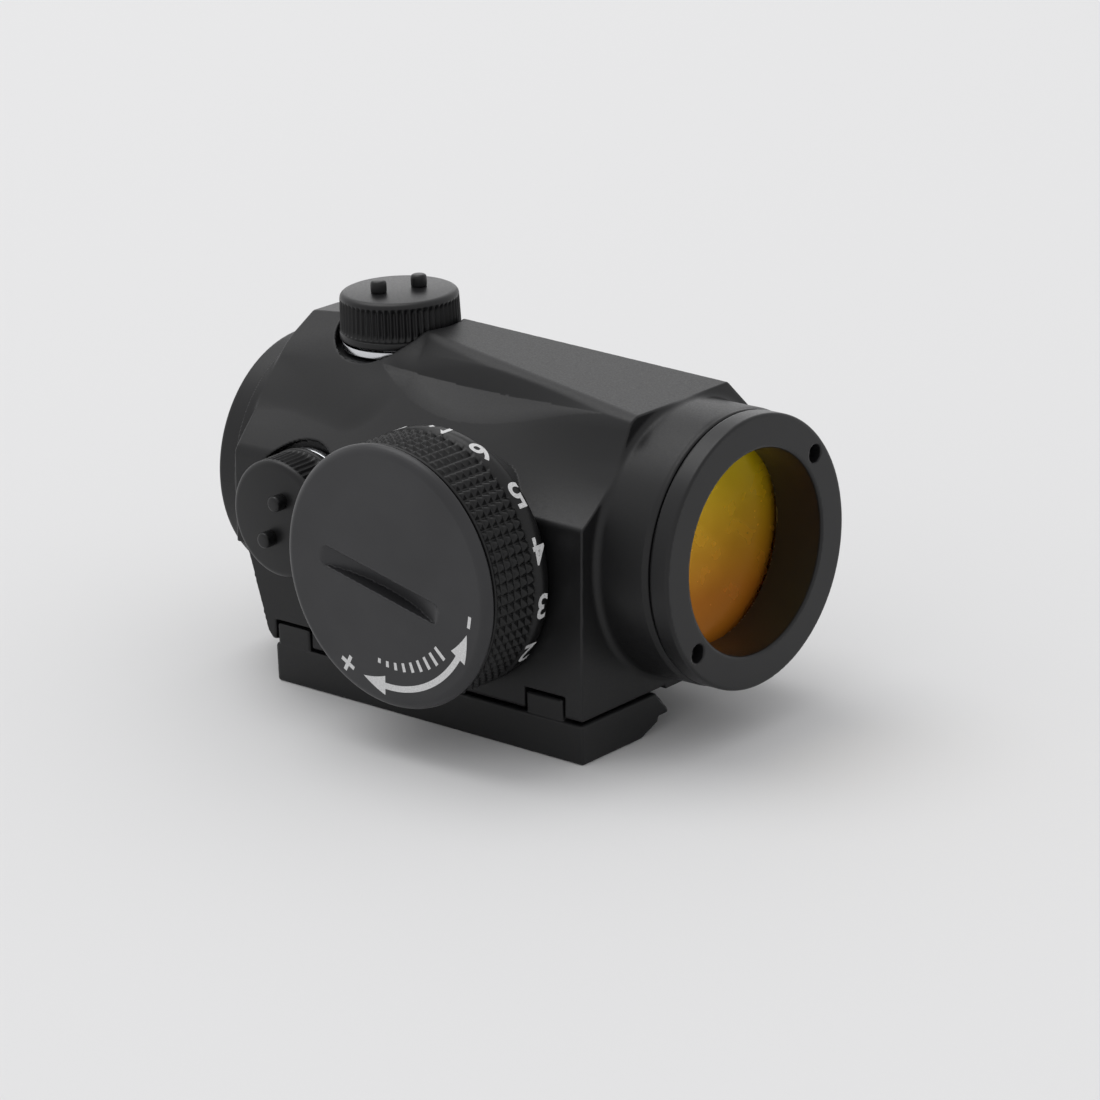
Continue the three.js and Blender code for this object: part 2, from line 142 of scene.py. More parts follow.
X_AXIS, Y_AXIS, Z_AXIS = (1, 0, 0), (0, 1, 0), (0, 0, 1)
NEAR = (0, -1, 0)
ORIGIN = (0, 0, 0)
BEYOND = 40                   # a reach that is clear of the whole sight


# --------------------------------------------------------- surface of a shape

CELL = 4        # fine steps to one coarse step, when the empty space is skipped


def sample(shape, low, steps, spacing):
    """The distance on a grid, worked out in full only near the surface."""
    coarse = [np.arange(0, n + CELL, CELL) for n in steps]
    places = np.stack(np.meshgrid(*coarse, indexing="ij"), -1).reshape(-1, 3)
    rough = shape(low + places * spacing).reshape([len(c) for c in coarse])
    values = rough
    for axis in range(3):
        values = np.repeat(values, CELL, axis=axis)
    reach = CELL * np.linalg.norm(spacing) * 1.05
    near = np.abs(values) < reach
    index = np.argwhere(near)
    values = values.copy()
    for start in range(0, len(index), 400000):
        part = index[start:start + 400000]
        values[tuple(part.T)] = shape(low + part * spacing)
    return values[tuple(slice(0, n + 1) for n in steps)]


def surface(shape, low, high, spacing):
    """Vertices, quads and normals of the surface where the distance is zero."""
    low, spacing = np.array(low, float), np.array(spacing, float)
    steps = [int(math.ceil(s)) for s in (np.array(high) - low) / spacing]
    values = sample(shape, low, steps, spacing)
    inside = values < 0
    corners = [(i, j, k) for i in (0, 1) for j in (0, 1) for k in (0, 1)]
    cells = tuple(n for n in steps)

    def shifted(grid, offset):
        return grid[tuple(slice(o, o + n) for o, n in zip(offset, cells))]

    count = sum(shifted(inside, c).astype(np.int8) for c in corners)
    mixed = np.argwhere((count > 0) & (count < 8))
    number = np.full(cells, -1, np.int64)
    number[tuple(mixed.T)] = np.arange(len(mixed))
    total = np.zeros((len(mixed), 3))
    crossings = np.zeros(len(mixed))
    for a in corners:
        for axis in range(3):
            if a[axis]:
                continue
            b = tuple(v + (k == axis) for k, v in enumerate(a))
            value_a = values[tuple((mixed + a).T)]
            value_b = values[tuple((mixed + b).T)]
            crossed = (value_a < 0) != (value_b < 0)
            share = np.where(crossed, value_a / np.where(crossed, value_a - value_b, 1), 0)
            point = np.array(a) + share[:, None] * np.eye(3)[axis]
            total += point * crossed[:, None]
            crossings += crossed
    vertices = low + (mixed + total / crossings[:, None]) * spacing
    faces = []
    for axis in range(3):
        u, v = (axis + 1) % 3, (axis + 2) % 3
        start = [slice(1, n) for n in cells]
        start[axis] = slice(0, cells[axis])
        end = list(start)
        end[axis] = slice(1, cells[axis] + 1)
        a, b = inside[tuple(start)], inside[tuple(end)]
        for flip, crossed in ((False, a & ~b), (True, ~a & b)):
            edge = np.argwhere(crossed)
            edge[:, u] += 1
            edge[:, v] += 1
            ring = []
            for du, dv in ((0, 0), (1, 0), (1, 1), (0, 1)):
                cell = edge.copy()
                cell[:, u] -= 1 - du
                cell[:, v] -= 1 - dv
                ring.append(number[tuple(cell.T)])
            quads = np.stack(ring, -1)
            faces.append(quads[:, ::-1] if flip else quads)
    for _ in range(3):
        slope = gradient(shape, vertices)
        size = np.maximum(np.sum(slope * slope, axis=1, keepdims=True), 0.2)
        move = shape(vertices)[:, None] * slope / size
        vertices = vertices - np.clip(move, -spacing, spacing)
    normals = gradient(shape, vertices)
    normals /= np.maximum(np.linalg.norm(normals, axis=1, keepdims=True), 1e-9)
    return vertices, np.concatenate(faces), normals


def gradient(shape, points, step=0.004):
    slopes = [shape(points + step * direction) - shape(points - step * direction)
              for direction in np.eye(3)]
    return np.stack(slopes, -1) / (2 * step)


# -------------------------------------------------------------- mesh objects

def mesh_object(name, vertices, faces, material, body, node=None, normals=None):
    """A piece from vertices in millimetres about the optical axis."""
    mesh = bpy.data.meshes.new(name)
    lifted = (np.asarray(vertices) + [0, 0, AXIS_HEIGHT]) * MM
    mesh.from_pydata(lifted.tolist(), [], [list(map(int, face)) for face in faces])
    mesh.update()
    mesh.shade_smooth()
    if normals is not None:
        mesh.normals_split_custom_set_from_vertices(np.asarray(normals).tolist())
    piece = bpy.data.objects.new(name, mesh)
    bpy.context.scene.collection.objects.link(piece)
    mesh.materials.append(material)
    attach(piece, body)
    if node:
        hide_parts(node)
    return piece


def carved(name, shape, low, high, spacing, material, body, node):
    vertices, faces, normals = surface(shape, low, high, spacing)
    return mesh_object(name, vertices, faces, material, body, node, normals)


def placed(points, axis, centre):
    """Local z becomes axis: +x (forward), -y (out of the near side) or +z (up)."""
    x, y, z = points[:, 0], points[:, 1], points[:, 2]
    if axis == X_AXIS:
        turned = np.stack([z, y, -x], -1)
    elif axis == NEAR:
        turned = np.stack([x, -z, y], -1)
    else:
        turned = points
    return turned + np.array(centre)


def rounded(profile, radius=0.2, steps=4):
    """A closed profile of (r, h) corners with each corner rounded; points on the axis stay."""
    result = []
    total = len(profile)
    for k in range(total):
        here = np.array(profile[k], float)
        before = np.array(profile[k - 1], float) - here
        after = np.array(profile[(k + 1) % total], float) - here
        if here[0] < 1e-6:
            result.append(here)
            continue
        size = min(radius, 0.45 * np.linalg.norm(before), 0.45 * np.linalg.norm(after))
        a = here + before / np.linalg.norm(before) * size
        b = here + after / np.linalg.norm(after) * size
        for t in np.linspace(0, 1, steps + 1):
            result.append((1 - t) ** 2 * a + 2 * t * (1 - t) * here + t * t * b)
    return np.array(result)


def lathe(name, profile, axis, centre, material, body, node=None, segments=160, radius=0.2):
    """A turned closed solid; profile lists (r, h) corners anticlockwise."""
    outline = rounded(profile, radius)
    return revolve(name, outline, axis, centre, material, body, node, segments)


def revolve(name, outline, axis, centre, material, body, node=None, segments=160, shape=None):
    """Turn an outline about local z; shape(angle, r, h) may change the radius."""
    angle = np.linspace(0, 2 * math.pi, segments, endpoint=False)
    r = np.repeat(outline[:, 0][:, None], segments, axis=1)
    h = np.repeat(outline[:, 1][:, None], segments, axis=1)
    if shape:
        r = shape(angle[None, :], r, h)
    points = np.stack([r * np.cos(angle), r * np.sin(angle), h], -1).reshape(-1, 3)
    rows = len(outline)
    faces = []
    for i in range(rows):
        after = (i + 1) % rows
        if outline[i, 0] < 1e-6 and outline[after, 0] < 1e-6:
            continue
        for k in range(segments):
            m = (k + 1) % segments
            ring = [i * segments + k, i * segments + m, after * segments + m, after * segments + k]
            if outline[i, 0] < 1e-6:
                ring = [i * segments, ring[2], ring[3]]
            elif outline[after, 0] < 1e-6:
                ring = [ring[0], ring[1], after * segments]
            faces.append(ring)
    piece = mesh_object(name, placed(points, axis, centre), faces, material, body, node)
    drop_loose(piece)
    return piece


def drop_loose(piece):
    """Remove the spare copies of points that lie on the axis."""
    mesh = piece.data
    used = np.zeros(len(mesh.vertices), bool)
    corners = np.zeros(len(mesh.loops), np.int32)
    mesh.loops.foreach_get("vertex_index", corners)
    used[corners] = True
    if used.all():
        return
    work = bmesh.new()
    work.from_mesh(mesh)
    work.verts.ensure_lookup_table()
    bmesh.ops.delete(work, geom=[v for v in work.verts if not used[v.index]], context="VERTS")
    work.to_mesh(mesh)
    work.free()


# ----------------------------------------------------------------- materials

SHEEN = 0.33                  # specular level of the dull anodised finishes


def shader(name, colour, roughness, metallic=0.0, alpha=1.0, specular=0.5):
    material = bpy.data.materials.new(name)
    material.use_nodes = True
    principled = material.node_tree.nodes["Principled BSDF"]
    principled.inputs["Base Color"].default_value = (*colour, 1)
    principled.inputs["Roughness"].default_value = roughness
    principled.inputs["Metallic"].default_value = metallic
    principled.inputs["Alpha"].default_value = alpha
    principled.inputs["Specular IOR Level"].default_value = specular
    return material, principled


def new(material, kind, **values):
    node = material.node_tree.nodes.new(kind)
    for name, value in values.items():
        node.inputs[name.replace("_", " ")].default_value = value
    return node


def link(material, output, target):
    material.node_tree.links.new(output, target)


def noise(material, scale, detail=3.0, roughness=0.6):
    """Noise in object space; scale is in cycles per metre."""
    place = new(material, "ShaderNodeTexCoord")
    grain = new(material, "ShaderNodeTexNoise", Scale=scale, Detail=detail, Roughness=roughness)
    link(material, place.outputs["Object"], grain.inputs["Vector"])
    return grain.outputs["Fac"]


def spread(material, value, low, high, start=0.3, end=0.7):
    scale = new(material, "ShaderNodeMapRange", From_Min=start, From_Max=end, To_Min=low, To_Max=high)
    link(material, value, scale.inputs["Value"])
    return scale.outputs["Result"]


def tint(material, value, dark, light):
    ramp = new(material, "ShaderNodeValToRGB")
    ramp.color_ramp.elements[0].position = 0.3
    ramp.color_ramp.elements[0].color = (*dark, 1)
    ramp.color_ramp.elements[1].position = 0.7
    ramp.color_ramp.elements[1].color = (*light, 1)
    link(material, value, ramp.inputs["Fac"])
    return ramp.outputs["Color"]


def bump(material, principled, height, strength, distance):
    node = new(material, "ShaderNodeBump", Strength=strength, Distance=distance)
    link(material, height, node.inputs["Height"])
    link(material, node.outputs["Normal"], principled.inputs["Normal"])


def anodised(name, shade, roughness, grain=5200, depth=0.25, vary=0.12):
    """Black anodised aluminium: a fine blasted grain, with slow changes in shade and gloss."""
    colour = (shade, shade, shade * 1.06)
    material, principled = shader(name, colour, roughness, specular=SHEEN)
    cloud = noise(material, 130, detail=2)
    dark = tuple(c * (1 - vary) for c in colour)
    light = tuple(c * (1 + vary) for c in colour)
    link(material, tint(material, cloud, dark, light), principled.inputs["Base Color"])
    speck = noise(material, grain, detail=2, roughness=0.7)
    link(material, spread(material, speck, roughness - 0.06, roughness + 0.06),
         principled.inputs["Roughness"])
    bump(material, principled, speck, depth, 0.00002)
    return material


def turned_metal(name, colour, roughness, axis, grooves=9000, metallic=1.0):
    """Bare turned metal with fine tool lines round the axis."""
    material, principled = shader(name, colour, roughness, metallic)
    place = new(material, "ShaderNodeTexCoord")
    stretch = new(material, "ShaderNodeMapping")
    stretch.inputs["Scale"].default_value = tuple(grooves if k == axis else 60 for k in range(3))
    link(material, place.outputs["Object"], stretch.inputs["Vector"])
    lines = new(material, "ShaderNodeTexNoise", Scale=1.0, Detail=2.0, Roughness=0.5)
    link(material, stretch.outputs["Vector"], lines.inputs["Vector"])
    height = lines.outputs["Fac"]
    link(material, spread(material, height, roughness * 0.7, roughness * 1.4),
         principled.inputs["Roughness"])
    dark = tuple(c * 0.88 for c in colour)
    link(material, tint(material, height, dark, colour), principled.inputs["Base Color"])
    bump(material, principled, height, 0.15, 0.00001)
    return material


def speckled(name, colour, roughness, grain=2500):
    """A moulded or painted surface: a fine speckle in shade, gloss and height."""
    material, principled = shader(name, colour, roughness, specular=0.3)
    speck = noise(material, grain, detail=4)
    link(material, spread(material, speck, roughness - 0.1, roughness + 0.1),
         principled.inputs["Roughness"])
    dark, light = (tuple(c * share for c in colour) for share in (0.8, 1.2))
    link(material, tint(material, speck, dark, light), principled.inputs["Base Color"])
    bump(material, principled, speck, 0.3, 0.00003)
    return material


def coated_glass(name, top, bottom, alpha, roughness, metallic):
    """A part-mirror coating; its colour over the height of the glass is a painted reflection, running
    from the bottom tint to the top tint.
    """
    material, principled = shader(name, top, roughness, metallic, alpha)
    principled.inputs["Coat Weight"].default_value = 1.0
    principled.inputs["Coat Roughness"].default_value = 0.02
    place = new(material, "ShaderNodeTexCoord")
    split = new(material, "ShaderNodeSeparateXYZ")
    link(material, place.outputs["Object"], split.inputs["Vector"])
    # painted reflection: the base colour runs from the bottom tint low in the glass to the top tint
    # higher up
    height = spread(material, split.outputs["Z"], 0.3, 0.7, 0.008, 0.022)
    link(material, tint(material, height, bottom, top), principled.inputs["Base Color"])
    haze = noise(material, 400, detail=2)
    link(material, spread(material, haze, roughness * 0.8, roughness * 1.2),
         principled.inputs["Roughness"])
    return material


def printed_white(name):
    material, principled = shader(name, (0.62, 0.62, 0.62), 0.5)
    speck = noise(material, 6000, detail=2)
    link(material, tint(material, speck, (0.5, 0.5, 0.5), (0.7, 0.7, 0.7)),
         principled.inputs["Base Color"])
    link(material, spread(material, speck, 0.45, 0.6), principled.inputs["Roughness"])
    return material


MATTE = anodised("matte_anodised", 0.007, 0.42)
SATIN = anodised("satin_anodised", 0.008, 0.36, grain=7000, depth=0.12)
CAPS = anodised("cap_anodised", 0.007, 0.36, grain=7000, depth=0.12)
KNOB = anodised("knob_anodised", 0.004, 0.38, grain=7000, depth=0.12)
COVER = anodised("battery_cap_anodised", 0.028, 0.36, grain=8000, depth=0.08)
BARREL = speckled("black_interior", (0.006, 0.006, 0.006), 0.7)
RUBBER = speckled("black_rubber", (0.01, 0.01, 0.01), 0.75)
PLASTIC = speckled("dark_plastic", (0.03, 0.03, 0.03), 0.5)
BRIGHT = {axis: turned_metal(f"bare_ring_{'xyz'[axis]}", (0.72, 0.73, 0.75), 0.25, axis)
          for axis in (1, 2)}
STEEL = turned_metal("plain_steel", (0.4, 0.4, 0.41), 0.35, 0)
CELL_STEEL = turned_metal("cell_steel", (0.66, 0.66, 0.68), 0.28, 1)
BRASS = turned_metal("brass", (0.62, 0.44, 0.16), 0.3, 2)
PLATED = turned_metal("plated_contact", (0.83, 0.62, 0.26), 0.22, 1)
SCREWS = anodised("blackened_steel", 0.03, 0.35, grain=6000, depth=0.15)
# both glasses carry a painted reflection: the colour runs from the second tint low down to the first
# tint higher up
AMBER = coated_glass("amber_coated_glass", (1.0, 0.74, 0.01), (0.95, 0.33, 0.03), 0.85, 0.25, 0.5)
CLEAR = coated_glass("clear_glass", (0.6, 0.56, 0.42), (0.6, 0.5, 0.36), 0.22, 0.03, 1.0)
PRINT = printed_white("printed_white")
BOARD = speckled("circuit_board", (0.012, 0.045, 0.02), 0.5)
EMITTER = speckled("red_emitter", (0.5, 0.01, 0.01), 0.2)

BY_SLOT = {
    "matte_anodised": MATTE, "satin_anodised": SATIN, "cap_anodised": CAPS, "knob_anodised": KNOB,
    "battery_cap_anodised": COVER, "black_interior": BARREL, "bare_ring": BRIGHT[2],
    "plain_steel": STEEL, "blackened_steel": SCREWS, "brass": BRASS, "plated_contact": PLATED,
    "cell_steel": CELL_STEEL, "black_rubber": RUBBER, "amber_coated_glass": AMBER,
    "clear_glass": CLEAR, "circuit_board": BOARD, "dark_plastic": PLASTIC, "red_emitter": EMITTER,
}


def dress_cad_nodes():
    """Every CAD node gets its slot's finish, the hidden ones too."""
    for part in frame["record"]["subparts"]:
        node = frame["nodes"][part["node"]]
        node.data.materials.clear()
        node.data.materials.append(BY_SLOT[part["material_slot"]])


# ------------------------------------------------------------------- housing

SCOOP_DEPTH = 0.92            # how far the scoop cuts into the upper near facet
SCOOP_RUN = 2.3               # how far it runs back up the facet


def body_block(p):
    """The faceted middle of the housing, without its front face."""
    block = facets(p, [
        ((0.09, 0, 1), (22, 0, 14.3)),
        ((-0.119, 0, 1), (-28, 0, 16.13)),
        ((-0.1302, -0.4812, 0.8669), (-28, -0.97, 16.12)),
        ((-0.0373, 0.707, 0.707), (22, 7.3, 14.3)),
        ((0, 1, 0), (0, 14.2, 0)),
        ((0, 6.1, -5.2), (0, 9, RAIL)),
        ((0, -20.3, 1.1), (0, -17, RAIL)),
        ((0, 0, -1), (0, 0, RAIL + 0.3)),
        ((-1, 0, 0), (-28, 0, 0)),
        ((-0.983, -0.182, 0), (-28, -4, 0)),
        ((-4.2, 4, 0), (-28, 10, 0)),
        ((1, 0, 0), (28, 0, 0)),
    ], 0.35)
    return both(both(block, scooped_facet(p), 0.6), near_shoulder(p), 0.3)


def ease(share):
    share = np.clip(share, 0, 1)
    return share * share * (3 - 2 * share)


def scooped_facet(p):
    """Height above the upper near facet; a long scoop along its lower part adds to it."""
    x = p[:, 0]
    height = (p - np.array([22, -7.6, 14.25])) @ np.array([-0.0215, -0.6847, 0.7285])
    down = (p - np.array([0, -7.1, 14.07])) @ np.array([-0.0233, -0.7285, -0.6847])
    reach = np.where(x > 0, np.clip(1 - (x / 19) ** 2, 0, 1) ** 2, np.clip(1 - (x / 12.5) ** 2, 0, 1))
    depth = SCOOP_DEPTH * reach
    rise = np.clip((down + SCOOP_RUN) / SCOOP_RUN, 0, 1) ** 1.5
    return height + np.maximum(np.minimum(depth * rise, depth - 0.21 * down), 0)


def near_shoulder(p):
    """Hollow along the front, flatter behind, with a swelling round the near side of the turret."""
    x, y, z = p[:, 0], p[:, 1], p[:, 2]
    hollow = 19.07 - along(p, X_AXIS, (0, -25.6, 21.33))[0]
    lean = 1.04 + 0.0122 * np.minimum(x, 0)
    flat = (z - 5.3 - lean * (y + 15.8)) / np.sqrt(1 + lean * lean)
    share = ease((x - 4) / 18)
    swelling = 19.25 + 0.09 * (x + 28) - 0.06 * np.maximum(x + 14, 0) ** 2
    swollen = along(p, X_AXIS, (0, 6.92, -0.88))[0] - swelling
    return either(hollow * share + flat * (1 - share), swollen, 1.0)


def under_rear(p):
    """What is left behind: a ledge under the rear of the body, then the leaning back of the foot."""
    x, z = p[:, 0], p[:, 2]
    back = -0.949 * (x + 24.2) - 0.315 * (z + 5.15)
    heel = -0.768 * (x + 21.3) - 0.64 * (z + 13.9)
    return either(-5.1 - z, np.maximum(back, heel), 0.4)


def front_face(p):
    """The plane that ends the body, with the small fillet round the barrel."""
    r = along(p, X_AXIS, ORIGIN)[0]
    return either(p[:, 0] - FACE_X, r - BARREL_RADIUS, 0.9)


SEAM = 0.12                   # dark line between the barrel and the front ring


def barrel(p):
    r, x = along(p, X_AXIS, ORIGIN)
    body = both(r - BARREL_RADIUS, np.maximum(-28.1 - x, x - (RING_X - SEAM)), 0.22)
    rim = both(r - 13.4, np.maximum(-31 - x, x - 20), 0.35)
    return either(body, rim, 0.4)


def turret_cut(p, axis, centre):
    pocket = cylinder(p, axis, centre, POCKET_RADIUS, POCKET_FLOOR, BEYOND)
    stem = cylinder(p, axis, centre, 2.1, 8, BEYOND)
    return np.minimum(pocket, stem)


def bores(p):
    r, x = along(p, X_AXIS, ORIGIN)
    rear = both(r - 12.3, x + 25.7)
    sight = both(r - 10.4, x + 24.4)
    middle = both(r - TUBE_BORE, np.maximum(-24.5 - x, x - 19.6))
    front = both(r - 12.6, 19.5 - x)
    return np.minimum(np.minimum(rear, sight), np.minimum(middle, front))


EARS = [(-19.8, -15.2), (14.8, 19.5)]


def foot_cuts(p):
    """Pockets for the claw bar's ears and for the jaw, and the step each side of the land."""
    cuts = [box(p, (a - 0.3, -40, -40), (b + 0.3, -15.2, -12.6), 0.1) for a, b in EARS]
    cuts.append(box(p, (-12.4, 9, -40), (7.4, 40, -11), 0.1))
    return np.min(cuts, axis=0)


def land(p):
    return box(p, (-20.1, -4, RAIL), (22, 4, RAIL + 2), 0.05)


def housing(p):
    block = np.maximum(body_block(p), under_rear(p))
    block = both(block, front_face(p), 0.18)
    block = np.minimum(block, np.maximum(land(p), under_rear(p)))
    boss = cylinder(p, NEAR, (KNOB_X, 0, KNOB_Z), 10.1, 12.5, 16.9, 0.2)
    whole = np.minimum(either(barrel(p), block, 0.4), boss)
    whole = without(whole, turret_cut(p, Z_AXIS, (TURRET_X, 0, 0)), 0.3)
    whole = without(whole, turret_cut(p, NEAR, (TURRET_X, 0, 0)), 0.3)
    whole = without(whole, foot_cuts(p), 0.15)
    recess = cylinder(p, NEAR, (KNOB_X, 0, KNOB_Z), 7.6, 14.9, 40)
    return np.maximum(without(whole, bores(p), 0.15), -recess)


def make_housing():
    carved("housing_body", housing, (-31.6, -18, -15.8), (29, 15, 18), (0.25, 0.2, 0.2),
           MATTE, "body", "housing")


# ---------------------------------------------------------------- rail clamp

def claw_bar(p):
    bar = facets(p, [
        ((-1, 0, 0), (-20.2, 0, 0)), ((1, 0, 0), (22, 0, 0)),
        ((0, 0, 1), (0, 0, RAIL)), ((0, -1, 0), (0, -17, 0)), ((0, 0, -1), (0, 0, FLOOR)),
        ((0, 1, 0), (0, -3.6, 0)),
        ((0, 1, -2.6), (0, -7.9, FLOOR)),
    ], 0.25)
    flank = (p[:, 1] + 5.5) * 0.771 + (p[:, 2] - RAIL) * 0.637
    tip_step = box(p, (-40, -5.2, -40), (40, 10, -17.72), 0.1)
    bar = without(both(bar, flank, 0.12), tip_step, 0.15)
    for low, high in EARS:
        ear = box(p, (low, -16.95, RAIL - 0.8), (high, -15.5, -12.9), 0.2)
        bar = np.minimum(bar, ear)
    for x in (-12, 3, 17):
        hole = cylinder(p, Z_AXIS, (x, -11.5, 0), 2.5, -40, -17.2)
        bar = without(bar, np.minimum(hole, cylinder(p, Z_AXIS, (x, -11.5, 0), 1.5, -40, 0)), 0.15)
    return bar


def clamp_jaw(p):
    jaw = facets(p, [
        ((-1, 0, 0), (-12, 0, 0)), ((1, 0, 0), (7, 0, 0)),
        ((0, 0, 1), (0, 0, -11.3)), ((0, 1, 0), (0, 13.3, 0)), ((0, 0, -1), (0, 0, FLOOR)),
        ((0, 1, -1), (0, 13.3, FLOOR + 1.4)), ((0, -1, 0), (0, 3.6, 0)),
        ((0, -1, -1), (0, 6.3, FLOOR)),
    ], 0.3)
    above = box(p, (-40, -10, RAIL), (40, 9.3, 0), 0.1)
    flank = (5.5 - p[:, 1]) * 0.771 + (p[:, 2] - RAIL) * 0.637
    lower = either(flank, 9.3 - p[:, 1])
    jaw = without(both(jaw, lower, 0.12), above, 0.15)
    for x in (-8, 3):
        hole = cylinder(p, Y_AXIS, (x, 0, -13.4), 1.1, -40, 40)
        seat = cylinder(p, Y_AXIS, (x, 0, -13.4), 1.95, 11.4, 40)
        jaw = without(jaw, np.minimum(hole, seat), 0.15)
    return jaw


def hex_prism(p, across, low, high):
    flats = [p @ np.array([math.cos(a), math.sin(a), 0]) - across / 2
             for a in np.radians(np.arange(0, 360, 60))]
    return np.maximum(np.max(flats, axis=0), np.maximum(low - p[:, 2], p[:, 2] - high))


def cap_screw(p, head, shank, under, top, end, key):
    """A socket screw along local z with its head at the low end."""
    r, h = along(p, Z_AXIS, ORIGIN)
    body = np.minimum(both(r - head, np.maximum(top - h, h - under), 0.2),
                      both(r - shank, np.maximum(under - 0.3 - h, h - end), 0.1))
    return without(body, hex_prism(p, key, top - 1, top + 0.9), 0.08)


def make_clamp():
    carved("claw_bar_body", claw_bar, (-20.8, -17.6, -19.9), (22.6, -3, -12.3), (0.3, 0.2, 0.2),
           MATTE, "body", "fixed_claw_bar")
    carved("clamp_jaw_body", clamp_jaw, (-12.6, 3, -19.9), (7.6, 13.9, -10.7), (0.3, 0.2, 0.2),
           MATTE, "clamp_jaw", "clamp_jaw")
    for number, x in enumerate((-12, 3, 17), 1):
        centre = np.array([x, -11.5, 0])
        carved(f"claw_bar_screw_body_{number}",
               lambda p: cap_screw(p - centre, 2.2, 1, -17.5, -19.1, -12.2, 2.0),
               (x - 2.5, -14, -19.4), (x + 2.5, -9, -12), (0.14, 0.14, 0.14),
               SCREWS, "body", f"claw_bar_screw_{number}")
    for place, x in (("rear", -8), ("front", 3)):
        centre = np.array([x, 0, -13.4])

        def shape(p):
            q = p - centre
            turned = np.stack([q[:, 0], q[:, 2], -q[:, 1]], -1)
            return cap_screw(turned, 1.65, 0.8, -11.7, -13.2, -4, 1.5)

        carved(f"clamp_screw_body_{place}", shape, (x - 2, 3.7, -15.4), (x + 2, 13.5, -11.4),
               (0.12, 0.16, 0.12), SCREWS, f"clamp_screw_{place}", f"clamp_screw_{place}")


# --------------------------------------------------------------- rings, glass

def front_ring(p):
    flange = tube(p, X_AXIS, ORIGIN, RING_BORE, BARREL_RADIUS, RING_X, NOSE_X, 0.28)
    sleeve = tube(p, X_AXIS, ORIGIN, RING_BORE, 12.3, 25.1, 29.5, 0.1)
    ring = np.minimum(flange, sleeve)
    for turn in (39, 219):
        a = math.radians(turn)
        centre = (0, 12.35 * math.cos(a), 12.35 * math.sin(a))
        ring = without(ring, cylinder(p, X_AXIS, centre, 0.95, 29.6, BEYOND), 0.1)
    return ring


def rear_ring(p):
    ring = np.minimum(tube(p, X_AXIS, ORIGIN, 9.9, 12, -31, -29.8, 0.15),
                      tube(p, X_AXIS, ORIGIN, 10.3, 12, -30.5, -28.2, 0.1))
    return without(ring, box(p, (-40, -20, -0.6), (-30.4, 20, 0.6)), 0.1)


def make_rings():
    carved("front_ring_body", front_ring, (24.7, -14.5, -14.5), (31.4, 14.5, 14.5), (0.2, 0.24, 0.24),
           SATIN, "body", "front_retaining_ring")
    carved("rear_ring_body", rear_ring, (-31.3, -12.5, -12.5), (-27.9, 12.5, 12.5), (0.2, 0.24, 0.24),
           SATIN, "body", "rear_retaining_ring")


def lens(name, rim, back, front, material, node):
    """back and front are (place at the rim, rise at the middle); a rise below 0 is hollow."""
    steps = 16
    r = np.linspace(0, rim, steps)
    lower = [(v, back[0] + back[1] * (1 - (v / rim) ** 2)) for v in r]
    upper = [(v, front[0] + front[1] * (1 - (v / rim) ** 2)) for v in r[::-1]]
    revolve(name, np.array(lower + upper), X_AXIS, ORIGIN, material, "body", node, 128)


def make_glass():
    lens("front_glass", 12.15, (21.5, 0.0), (24.1, -1.7), AMBER, "objective_front_element")
    lens("rear_glass", 12.15, (19.4, 0.6), (21.2, 0.1), CLEAR, "objective_rear_element")
    lathe("window_glass", [(0, -27.6), (11.9, -27.6), (11.9, -26), (0, -26)], X_AXIS, ORIGIN,
          CLEAR, "body", "eyepiece_window", 128)


# ------------------------------------------------------------------- turrets

FLUTES = 58                   # round each adjuster cap


def fluted(count, depth, low, high):
    """Round-bottomed flutes on the outer wall between two heights."""
    def shape(angle, r, h):
        wave = (0.5 - 0.5 * np.cos(count * angle)) ** 0.7
        ends = np.clip((h - low) / 0.35, 0, 1) * np.clip((high - h) / 0.35, 0, 1)
        outer = r > 5.8
        return r - outer * depth * wave * ends
    return shape


def turret_cap(side, axis, body):
    """Cap with a plain lip, a fluted wall, a wide rounded rim on top and two tool studs."""
    lip = [(6.3, 15.05), (6.4, 15.12), (6.42, 15.2), (6.42, 15.62), (6.38, 15.7), (6.24, 15.74),
           (6.24, 15.84), (6.36, 15.88)]
    wall = list(zip(np.linspace(6.38, 6.27, 16), np.linspace(15.92, 19.3, 16)))
    rim = [(6.26, 19.4), (6.22, 19.55), (6.12, 19.7), (5.98, 19.82), (5.8, 19.9), (5.55, 19.95)]
    outline = [(0, 18.65), (5.05, 18.65), (5.25, 18.45), (5.25, 16.15), (5.7, 16.15), (5.7, 15.05)]
    outline += lip + wall + rim + [(0, 19.95)]
    centre = (TURRET_X, 0, 0)
    revolve(f"{side}_cap_body", np.array(outline), axis, centre, CAPS, body, f"{side}_cap",
            FLUTES * 10, fluted(FLUTES, 0.3, 15.9, 19.35))
    for number, turn in enumerate((67, 247), 1):
        a = math.radians(turn)
        local = np.array([[2.3 * math.cos(a), 2.3 * math.sin(a), 0]])
        stud = [(0, 19.8), (0.85, 19.8), (0.85, 21.25), (0, 21.25)]
        piece = lathe(f"{side}_cap_stud_{number}", stud, axis, placed(local, axis, centre)[0],
                      CAPS, body, None, 48, 0.55)


